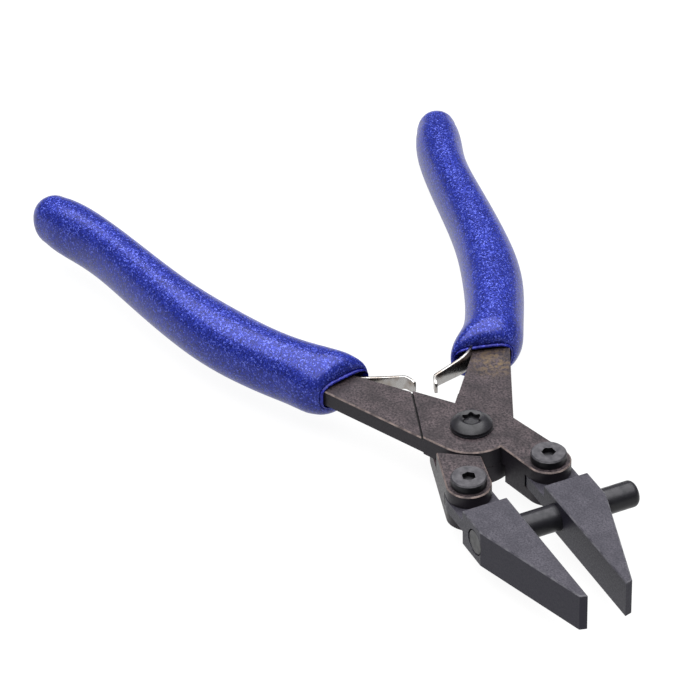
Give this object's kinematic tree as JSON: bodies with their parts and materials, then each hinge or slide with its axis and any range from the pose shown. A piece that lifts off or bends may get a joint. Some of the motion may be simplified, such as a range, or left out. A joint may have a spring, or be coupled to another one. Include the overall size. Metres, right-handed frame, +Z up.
{
  "type": "crimping pliers",
  "caption": "Parallel-action crimping pliers: crossed levers with a lapped pivot, tapered smooth jaws on clevis pivots, a guide pin, leaf springs and dipped soft grips.",
  "frame": {"origin": "on the main pivot axis, at the flat underside of the joint", "axes": "+X along the tool's centre line to the jaw tips, +Y to the side of the upper jaw, +Z up, square to the flat faces"},
  "size_m": [0.1657, 0.0978, 0.0171],
  "materials": {
    "lever_steel": "black oxide, mottled, satin",
    "jaw_steel": "black oxide over a ground face, satin",
    "pin_steel": "black oxide, smooth",
    "screw_steel": "black oxide, smooth",
    "bush_steel": "ground and hardened",
    "rivet_steel": "plain",
    "spring_steel": "bright rolled strip",
    "grip_vinyl": "dipped vinyl with fine glitter, semi-gloss",
    "liner_vinyl": "dipped vinyl, gloss"
  },
  "bodies": {
    "lower_half": {"lower_lever": "lever_steel", "lower_grip": "grip_vinyl", "lower_grip_liner": "liner_vinyl", "lower_leaf_spring": "spring_steel", "lower_spring_rivet": "rivet_steel", "pivot_screw": "screw_steel", "pivot_washer": "screw_steel", "pivot_bush": "bush_steel", "lower_jaw_screw": "screw_steel", "lower_jaw_bush": "bush_steel"},
    "upper_half": {"upper_lever": "lever_steel", "upper_grip": "grip_vinyl", "upper_grip_liner": "liner_vinyl", "upper_leaf_spring": "spring_steel", "upper_spring_rivet": "rivet_steel", "upper_jaw_screw": "screw_steel", "upper_jaw_bush": "bush_steel"},
    "lower_jaw_set": {"lower_jaw": "jaw_steel", "guide_pin": "pin_steel"},
    "upper_jaw_set": {"upper_jaw": "jaw_steel"}
  },
  "joints": [
    {"name": "lever_pivot", "type": "hinge", "parent": "lower_half", "child": "upper_half", "pos_m": [0, 0, 0], "axis": [0, 0, -1], "range_deg": [0, 26.6], "stiffness_Nm_per_rad": 0.8, "deforming": ["lower_leaf_spring", "upper_leaf_spring"]},
    {"name": "lower_jaw_pivot", "type": "hinge", "parent": "lower_half", "child": "lower_jaw_set", "pos_m": [0.0156, -0.00832, 0], "axis": [0, 0, -1], "range_deg": [0, 13.3]},
    {"name": "upper_jaw_pivot", "type": "hinge", "parent": "upper_half", "child": "upper_jaw_set", "pos_m": [0.0156, 0.00832, 0], "axis": [0, 0, 1], "range_deg": [0, 13.3]}
  ],
  "couplings": [
    {"joint": "lower_jaw_pivot", "follows": "lever_pivot", "ratio": 0.5},
    {"joint": "upper_jaw_pivot", "follows": "lever_pivot", "ratio": 0.5}
  ]
}
